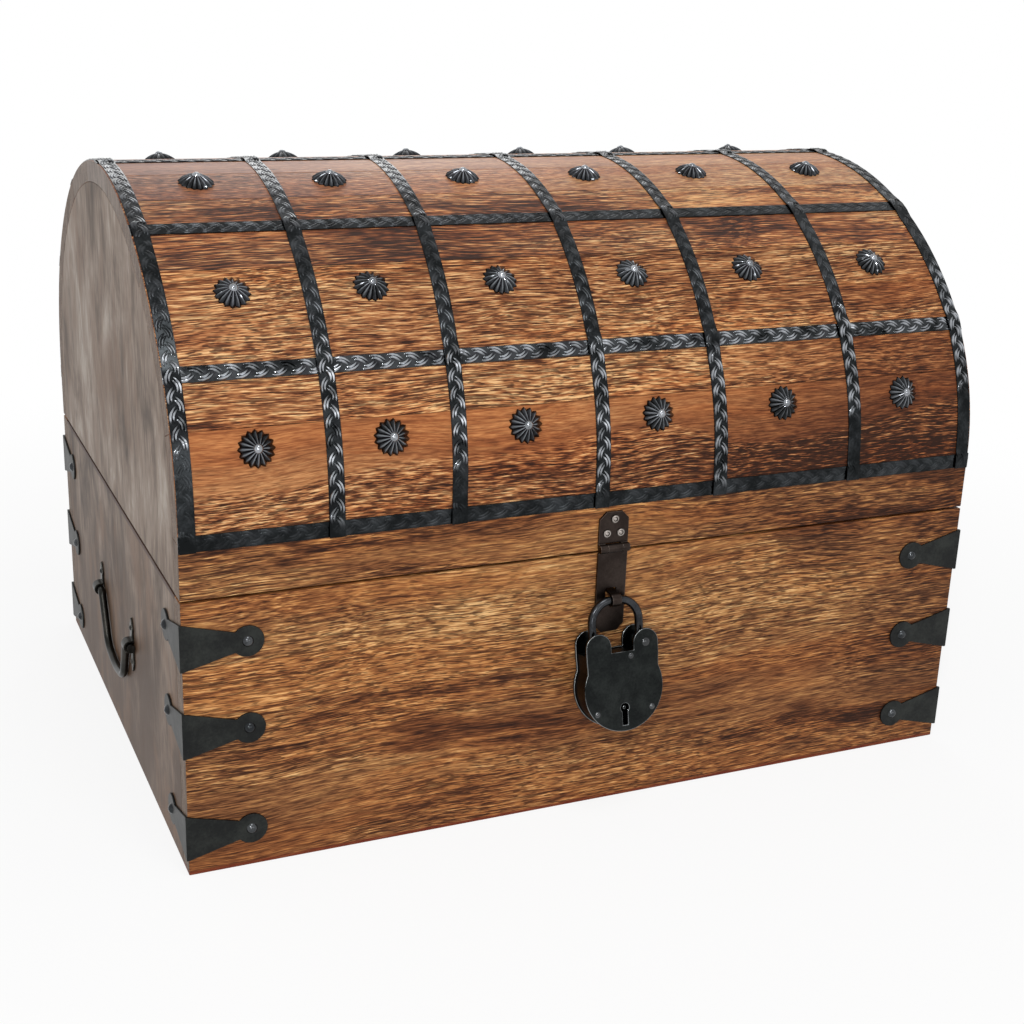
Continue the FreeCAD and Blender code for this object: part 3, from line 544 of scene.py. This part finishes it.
def blade(start, middle, end):
    """One blade of the plait, tapering at both ends and bent along the curve that three points lead."""
    clear_selection()
    bpy.ops.mesh.primitive_uv_sphere_add(segments=6, ring_count=7, radius=1)
    piece = begin("blade")
    bpy.ops.transform.rotate(value=math.pi / 2, orient_axis="Y", center_override=(0, 0, 0))
    bpy.ops.transform.resize(value=(1, BLADE_WIDE, BLADE_HIGH))
    bpy.ops.mesh.bisect(plane_co=(0, 0, 0), plane_no=(0, 0, 1), clear_inner=True)
    bpy.ops.object.mode_set(mode="OBJECT")

    def bend(t, across, up):
        share = (t + 1) / 2
        first, second = start.lerp(middle, share), middle.lerp(end, share)
        along = (second - first).normalized()
        place = first.lerp(second, share) + Vector((-along.y, along.x)) * across
        return Vector((place.x, place.y, BAND_T + up))

    reshape(piece, bend)
    return piece


def plait_repeat():
    """Two blades from each edge of the strap, half a step apart."""
    pieces = []
    for side in (-1, 1):
        for points in BLADES:
            lead = [Vector((u * MM + side * PLAIT_STEP / 4, side * v * MM)) for u, v in points]
            pieces.append(blade(*lead))
    return join(pieces, "plait_repeat")


def flat_strap(name, length, repeat):
    """A strap laid out flat along +X: a thin band with the plait standing on it."""
    count = round(length / PLAIT_STEP)
    step = length / count
    plait = copy_of(repeat, "plait", Matrix.Translation((step / 2, 0, 0)))
    apply_modifier(plait, "ARRAY", count=count, use_relative_offset=False, use_constant_offset=True,
                   constant_offset_displace=(step, 0, 0))
    clear_selection()
    bpy.ops.mesh.primitive_cube_add(size=1, location=(length / 2, 0, BAND_T / 2),
                                    scale=(length, STRAP_W, BAND_T))
    band = begin(name)
    bpy.ops.object.mode_set(mode="OBJECT")
    bpy.ops.object.transform_apply(location=True, scale=True)
    bpy.ops.object.mode_set(mode="EDIT")
    choose(band, lambda a, b: abs(a.x - b.x) > length / 2, "EDGE")
    bpy.ops.mesh.subdivide(number_cuts=3 * count)
    bpy.ops.object.mode_set(mode="OBJECT")
    apply_modifier(band, "BEVEL", width=BAND_EDGE, segments=2, limit_method="ANGLE")
    strap = join([band, plait], name)
    reshape(strap, lambda u, v, w: Vector((min(max(u, 0), length), v, w)))
    return strap


def worn(height, share):
    """A height on the strap with its plait hammered down to a share of itself."""
    return height if height < BAND_T else BAND_T + (height - BAND_T) * share


def crest(height):
    """How far up a blade of the plait a point lies, from 0 to 1."""
    return max(0.0, (height - BAND_T) / BLADE_HIGH)


def strap_line(places, s):
    """Where an arch strap's middle lies along X at length s round the arch."""
    knots = list(zip(CROSS_STRAPS, places))
    for (s0, x0), (s1, x1) in zip(knots, knots[1:]):
        if s <= s1:
            return (x0 + (x1 - x0) * max(0, s - s0) / (s1 - s0)) * MM
    return places[-1] * MM


def arch_relief(s, index):
    """How much of an arch strap's plait stands up: crisp in one stretch, and hammered down elsewhere."""
    s = min(s, ARCH_L - s)
    low, high = CRISP[index]
    above = 1 - ramp_between(s / MM, high - TOP_FADE, high + TOP_FADE)
    crisp = (1 - above) * (1 - ramp_between(s / MM, low - FOOT_FADE, low + FOOT_FADE))
    return (FLAT_RELIEF + (1 - FLAT_RELIEF) * crisp + ABOVE_RELIEF * above
            + TOP_RELIEF * (1 - ramp_between(s, *TOP_STRETCH)))


def arch_strap(index, repeat, finish):
    """A strap bent over the barrel, stepped over each cross strap, leaning as it was nailed."""
    first, last = CROSS_STRAPS[0] - STRAP_W / 2, CROSS_STRAPS[-1] + STRAP_W / 2
    piece = flat_strap(f"arch_strap_{index + 1}_plaited", last - first, repeat)

    def bend(u, v, w):
        s = first + u
        away = min(abs(s - cross) for cross in CROSS_STRAPS)
        lift = STRAP_T * ramp_between(away, STRAP_W / 2, STRAP_W / 2 + JOGGLE)
        return on_arch(strap_line(ARCH_STRAPS[index], s) + v, s, lift + worn(w, arch_relief(s, index)))

    # Painted highlight on the blades' crests, strongest where the plait stands crisp
    paint_highlight(piece, lambda p: crest(p.co.z) ** 3 * min(1.0, arch_relief(first + p.co.x, index)) ** 2)
    reshape(piece, bend)
    smooth(piece, 50)
    finish_piece(piece, [f"arch_strap_{index + 1}"], finish)


def cross_straps(repeat, finish):
    """The straps along the barrel, hammered flat where the arch straps pass over them."""
    rows = []
    for middle, relief in zip(CROSS_STRAPS, CROSS_RELIEF):
        lines = [strap_line(places, middle) for places in ARCH_STRAPS]
        piece = flat_strap("cross_strap", 2 * HALF_W, repeat)

        def lay(u, v, w):
            x = u - HALF_W
            away = min(abs(x - line) for line in lines)
            under = ramp_between(away, STRAP_W / 2, STRAP_W / 2 + HAMMER_FADE)
            return on_arch(x, middle + v, worn(w, relief * (1 - HAMMERED * under)))

        # Painted highlight on the blades' crests, with a faint lift between them, on the straps whose plait
        # stands up most
        paint_highlight(piece, lambda p: (0.05 + 0.95 * crest(p.co.z) ** 2.5) * relief ** 3)
        reshape(piece, lay)
        rows.append(piece)
    piece = join(rows, "cross_straps_plaited")
    smooth(piece, 50)
    finish_piece(piece, ["cross_straps"], finish)


# Studs

def fluted_stud():
    """A domed flower head of pointed petals, standing on z = 0."""
    clear_selection()
    bpy.ops.mesh.primitive_circle_add(vertices=4 * PETALS, radius=STUD_R)
    piece = begin("stud")
    bpy.ops.transform.translate(value=(0, 0, STUD_FOOT * MM))
    height, width = STUD_FOOT, 1.0
    for z, scale in STUD_PROFILE:
        bpy.ops.mesh.extrude_region_move(TRANSFORM_OT_translate={"value": (0, 0, (z - height) * MM)})
        bpy.ops.transform.resize(value=(scale / width, scale / width, 1))
        height, width = z, scale
    bpy.ops.mesh.edge_face_add()
    pitch = 2 * math.pi / PETALS

    def valley(share):
        def test(p):
            part = (math.atan2(p.y, p.x) / pitch) % 1
            return abs(abs(part - 0.5) - share) < 0.1 and math.hypot(p.x, p.y) > 0.3 * STUD_R
        return test

    for share, pull, sink in FLUTES:
        choose(piece, valley(share))
        bpy.ops.transform.resize(value=(pull, pull, 1), center_override=(0, 0, 0))
        bpy.ops.transform.translate(value=(0, 0, -sink * MM))
    bpy.ops.object.mode_set(mode="OBJECT")

    # The petals' ridges take a painted highlight, fading out towards the rim
    def ridge(point):
        part = (math.atan2(point.co.y, point.co.x) / pitch) % 1
        reach = math.hypot(point.co.x, point.co.y) / STUD_R
        return ramp_between(min(part, 1 - part), 0.02, 0.24) * ramp_between(reach, 0.6, 1.0)

    paint_highlight(piece, ridge)
    return piece


def studs(finish):
    """The stud heads, each turned by a different angle, as they were nailed."""
    master = fluted_stud()
    heads = []
    places = [(x * MM, s) for row, columns in STUD_ROWS.items() for s in (row * MM, ARCH_L - row * MM)
              for x in columns]
    for count, (x, s) in enumerate(places):
        spin = Matrix.Rotation(count, 4, "Z")
        stand = Matrix.Rotation(math.pi / 2 - skin_turn(s), 4, "X")
        heads.append(copy_of(master, "stud_head", Matrix.Translation(on_arch(x, s, 0)) @ stand @ spin))
    bpy.data.objects.remove(master)
    piece = join(heads, "studs_fluted")
    smooth(piece, 25)
    finish_piece(piece, ["studs"], finish)


# Boards

# How far the boards' edges are rounded, and how far round the arch the first stave turns plain
BOARD_EDGE, CALM_FROM = 0.6 * MM, 32 * MM


def long_boards():
    """The boards along X, with the tones and burns that each one shows on the front half."""
    # Each patch: how much the tone changes, its place along X and up, and its half sizes (mm)
    pale_spot, burnt_edge = (0.1, -100, 150, 45, 20), (-0.1, -250, 80, 90, 110)
    burnt_foot, burnt_end = (-0.18, -110, 18, 70, 22), (-0.24, 262, 90, 90, 130)
    burnt_top = (-0.36, 165, 172, 50, 30)
    low_burn, end_burn = (-0.22, 120, 232, 190, 50), (-0.34, 215, 290, 150, 26)
    high_burn, faded = (-0.22, -120, 360, 80, 30), (0.3, 110, 389, 100, 13)
    row_burn = (-0.32, 115, 369, 50, 12)
    pale_left, pale_right = (0.14, -235, 319, 60, 16), (0.1, 130, 319, 60, 16)
    looks = {
        "front_panel": dict(colours=GOLDEN, seed=1.0, tones=(0.05, 0.0, 0.05), climb=0.08, stretch=2.0,
                            patches=(pale_spot, burnt_edge, burnt_foot, burnt_end, burnt_top)),
        "lid_front_rail": dict(colours=GOLDEN, seed=2.2, tones=(0.02, 0.02, -0.18), burn=0.6,
                               stretch=1.8),
        "stave_01": dict(colours=RUSSET, seed=3.9, tones=(0.02, 0.05, -0.24), climb=0.2, burn=0.35,
                         figure=1.4, stretch=1.5, calm_above=on_arch(0, CALM_FROM, 0).z,
                         patches=(low_burn,)),
        "stave_02": dict(colours=RUSSET, seed=4.7, tones=(0.06, 0.08, 0.02), climb=-0.1, figure=1.3,
                         stretch=1.8, patches=(end_burn, pale_left, pale_right)),
        "stave_03": dict(colours=RUSSET, seed=5.3, tones=(0.16, 0.04, 0.06), burn=0.3, figure=1.5,
                         stretch=2.4),
        "stave_04": dict(colours=RUSSET, seed=6.9, tones=(-0.02, -0.02, 0.25), burn=1.0, figure=1.4,
                         stretch=2.4, sheen=0.25, patches=(high_burn, faded, row_burn)),
        "stave_05": dict(colours=RUSSET, seed=7.9, tones=(-0.2, 0.12, 0.2), burn=0.1, figure=0.8,
                         sheen=0.5),
        "stave_06": dict(colours=RUSSET, seed=8.8, tones=(-0.14, 0.02, 0.18), burn=0.3, figure=0.6,
                         sheen=0.8),
        "stave_07": dict(colours=GOLDEN, seed=9.5, sheen=0.35),
        "stave_08": dict(colours=RUSSET, seed=10.6, burn=0.6, figure=1.3, stretch=1.4),
        "stave_09": dict(colours=RUSSET, seed=11.3, figure=1.3, stretch=1.4),
        "stave_10": dict(colours=RUSSET, seed=12.8, figure=1.3),
        "lid_back_rail": dict(colours=GOLDEN, seed=13.9),
        "back_panel": dict(colours=GOLDEN, seed=14.4, climb=0.1),
        "bottom_panel": dict(colours=GREY, seed=30.2, tones=(-0.1, -0.1, -0.1), burn=0.3),
    }
    for node, look in looks.items():
        low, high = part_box(node)
        slot = "bottom_board" if node == "bottom_panel" else "long_boards"
        eased(node, BOARD_EDGE, plank(f"{node}_wood", foot=low.z, top=high.z, **look))


def end_boards():
    """The upright boards at the ends, each with a seed and how much lighter it is: the lid's ends lighter
    as a painted reflection, the body's ends darker as painted shade.
    """
    looks = {"left_panel": (21.3, -0.12), "right_panel": (22.7, -0.12),
             "lid_left_end": (23.6, 0.08), "lid_right_end": (24.9, 0.08)}
    for node, look in looks.items():
        eased(node, BOARD_EDGE, end_board(f"{node}_wood", *look))


# Hasp, padlock, brackets, handles and hinges

def screw_head():
    """A raised ring with a sunk middle, standing on z = 0."""
    clear_selection()
    bpy.ops.mesh.primitive_cylinder_add(vertices=24, radius=SCREW_R, depth=SCREW_T)
    piece = begin("screw_head")
    bpy.ops.transform.translate(value=(0, 0, SCREW_T / 2))
    choose(piece, lambda p: p.z > SCREW_T / 2)
    bpy.ops.mesh.inset(thickness=RING_SLOPE)
    bpy.ops.transform.translate(value=(0, 0, RING_H))
    bpy.ops.mesh.inset(thickness=RING_W)
    bpy.ops.mesh.extrude_region_move(TRANSFORM_OT_translate={"value": (0, 0, -DISH_DEPTH)})
    bpy.ops.mesh.inset(thickness=DISH_SLOPE)
    bpy.ops.transform.translate(value=(0, 0, MIDDLE_H))
    bpy.ops.object.mode_set(mode="OBJECT")
    middle_r = SCREW_R - RING_SLOPE - RING_W - DISH_SLOPE
    on_ring = SCREW_T + RING_H / 2
    # The ring's top and the middle take a painted highlight
    paint_highlight(piece, lambda p: 1.0 if p.co.z > on_ring or p.co.xy.length < 1.1 * middle_r else 0.0)
    return piece


def hasp_screws(finish):
    master = screw_head()
    face = Matrix.Rotation(math.pi / 2, 4, "X")
    heads = [copy_of(master, "screw", Matrix.Translation((x * MM, HASP_FACE, z * MM)) @ face)
             for x, z in HASP_SCREWS]
    bpy.data.objects.remove(master)
    piece = join(heads, "hasp_screw_heads")
    smooth(piece)
    finish_piece(piece, ["hasp_screws"], finish)


def brackets():
    iron_black = iron("bracket_black", tint(40, 41, 41), tint(56, 58, 56), 0.46, 0.3 * MM)
    for face in ("front", "back"):
        for side in ("left", "right"):
            eased(f"{face}_{side}_brackets", 0.4 * MM, iron_black)
    keep("bracket_nails", iron("nail_black", tint(46, 48, 50), tint(82, 84, 86), 0.16, 0.05 * MM))


def hasp():
    # The hasp's pale colour is a painted highlight on its bevelled edges
    brown = iron("hasp_brown", tint(44, 37, 34), tint(60, 52, 48), 0.36, 0.15 * MM, tint(100, 90, 84))
    for node in ("hasp_plate", "hasp_leaf", "hasp_staple"):
        eased(node, 0.35 * MM, brown)
    keep("hasp_pin", brown)
    # The screws' pale colour is the painted highlight on their rings and middles
    hasp_screws(iron("hasp_screw_steel", tint(34, 29, 26), tint(46, 40, 36), 0.3, 0.02 * MM,
                     tint(168, 160, 154)))


def padlock():
    # The lock's pale colours are painted highlights on its bevelled edges
    plate = iron("lock_gunmetal", tint(29, 31, 31), tint(45, 48, 47), 0.3, 0.05 * MM, tint(130, 133, 134))
    rim = iron("lock_rim_black", tint(20, 21, 21), tint(32, 34, 33), 0.36, 0.05 * MM, tint(60, 62, 62))
    for node, finish in (("front_plate", plate), ("back_plate", plate), ("rim", rim)):
        eased(f"padlock_{node}", 0.5 * MM, finish, 3)
    bar = iron("shackle_gunmetal", tint(40, 41, 43), tint(66, 68, 71), 0.2, 0.03 * MM)
    for node in ("padlock_shackle", "lock_bolt"):
        keep(node, bar)
    rivet = iron("lock_rivet_steel", tint(60, 61, 62), tint(96, 97, 98), 0.18, 0.03 * MM)
    for node in ("padlock_rivets", "padlock_pivot"):
        keep(node, rivet)


def handles():
    black = iron("handle_black", tint(40, 40, 38), tint(66, 64, 60), 0.36, 0.2 * MM)
    for side in ("left", "right"):
        eased(f"{side}_handle_plates", 0.35 * MM, black)
        keep(f"{side}_handle_nails", black)
        keep(f"{side}_bail", black)


def hinges():
    black = iron("hinge_black", tint(38, 39, 40), tint(60, 60, 60), 0.42, 0.12 * MM)
    for node in ("hinge_body_leaves", "hinge_lid_leaves"):
        eased(node, 0.3 * MM, black)
    for node in ("hinge_body_screws", "hinge_lid_screws", "hinge_pins"):
        keep(node, black)


def ironwork_on_lid():
    # The straps' pale colour is the painted highlight on the plait's crests
    strap = iron("strap_black", tint(27, 29, 30), tint(51, 54, 56), 0.2, 0.2 * MM, tint(206, 210, 216))
    repeat = plait_repeat()
    cross_straps(repeat, strap)
    for index in range(len(ARCH_STRAPS)):
        arch_strap(index, repeat, strap)
    bpy.data.objects.remove(repeat)
    # The studs' pale colour is the painted highlight on their ridges
    studs(iron("stud_black", tint(35, 36, 37), tint(56, 58, 61), 0.16, 0.04 * MM, tint(140, 143, 148)))
    # The stud nails are pale all over: a painted highlight standing for the glints on their heads
    keep("stud_nails", iron("stud_nail_steel", tint(110, 113, 117), tint(170, 173, 178), 0.14, 0.03 * MM))


# Studio

def add_camera():
    forward = Vector((math.sin(CAMERA_YAW) * math.cos(CAMERA_PITCH),
                      math.cos(CAMERA_YAW) * math.cos(CAMERA_PITCH), math.sin(CAMERA_PITCH)))
    level = Vector((math.cos(CAMERA_YAW), -math.sin(CAMERA_YAW), 0))
    over = level.cross(forward)
    right = level * math.cos(CAMERA_ROLL) + over * math.sin(CAMERA_ROLL)
    up = over * math.cos(CAMERA_ROLL) - level * math.sin(CAMERA_ROLL)
    data = bpy.data.cameras.new("camera")
    data.sensor_width = SENSOR
    data.lens = FOCAL_PIXELS * SENSOR / IMAGE_PIXELS
    camera = bpy.data.objects.new("camera", data)
    bpy.context.scene.collection.objects.link(camera)
    turn = Matrix((right, up, -forward)).transposed().to_4x4()
    camera.matrix_world = Matrix.Translation(CAMERA_PLACE) @ turn
    bpy.context.scene.camera = camera


def add_lamp(name, place, size, watts):
    data = bpy.data.lights.new(name, "AREA")
    data.shape = "DISK"
    data.size = size
    data.energy = watts
    lamp = bpy.data.objects.new(name, data)
    bpy.context.scene.collection.objects.link(lamp)
    aim = LAMP_AIM - Vector(place)
    lamp.matrix_world = Matrix.Translation(place) @ aim.to_track_quat("-Z", "Y").to_matrix().to_4x4()


def seen_rays(tree):
    """1 for rays that see the background directly or in a reflection."""
    rays = [add_node(tree, "ShaderNodeLightPath", output=name)
            for name in ("Is Camera Ray", "Is Glossy Ray", "Is Transmission Ray")]
    return (rays[0] + rays[1] + rays[2]).at_most(1.0)


def add_studio():
    scene = bpy.context.scene
    scene.view_settings.view_transform = "Standard"
    world = bpy.data.worlds.new("studio")
    scene.world = world
    world.use_nodes = True
    tree = world.node_tree
    feed(tree, tree.nodes["Background"], Strength=AMBIENT + (1 - AMBIENT) * seen_rays(tree))
    tree.nodes["Background"].inputs["Color"].default_value = (1, 1, 1, 1)
    add_floor()
    for name, (place, width, watts) in LAMPS.items():
        add_lamp(name, place, width, watts)


def add_floor():
    """White paper that keeps the chest's shadow, and glows to white further away."""
    clear_selection()
    bpy.ops.mesh.primitive_plane_add(size=FLOOR_SIZE, location=(0, 0, -FLOOR_DROP))
    floor = bpy.context.object
    floor.name = "floor"
    material = bpy.data.materials.new("floor_white")
    material.use_nodes = True
    tree = material.node_tree
    paper = add_node(tree, "ShaderNodeBsdfDiffuse", None, {"Color": (0.85, 0.85, 0.85, 1)})
    glow = add_node(tree, "ShaderNodeEmission", None, {"Color": (1, 1, 1, 1), "Strength": 1.0})
    away = add_node(tree, "ShaderNodeVectorMath", {"operation": "LENGTH"}, {0: object_place(tree)}, "Value")
    share = (FLOOR_GLOW + (1 - FLOOR_GLOW) * step_up(tree, away, 0.4, 1.0)) * seen_rays(tree)
    both = add_node(tree, "ShaderNodeMixShader", None, {0: share, 1: paper, 2: glow})
    tree.links.new(both.socket, tree.nodes["Material Output"].inputs["Surface"])
    floor.data.materials.append(material)


long_boards()
end_boards()
brackets()
hasp()
padlock()
handles()
hinges()
ironwork_on_lid()
add_studio()
add_camera()
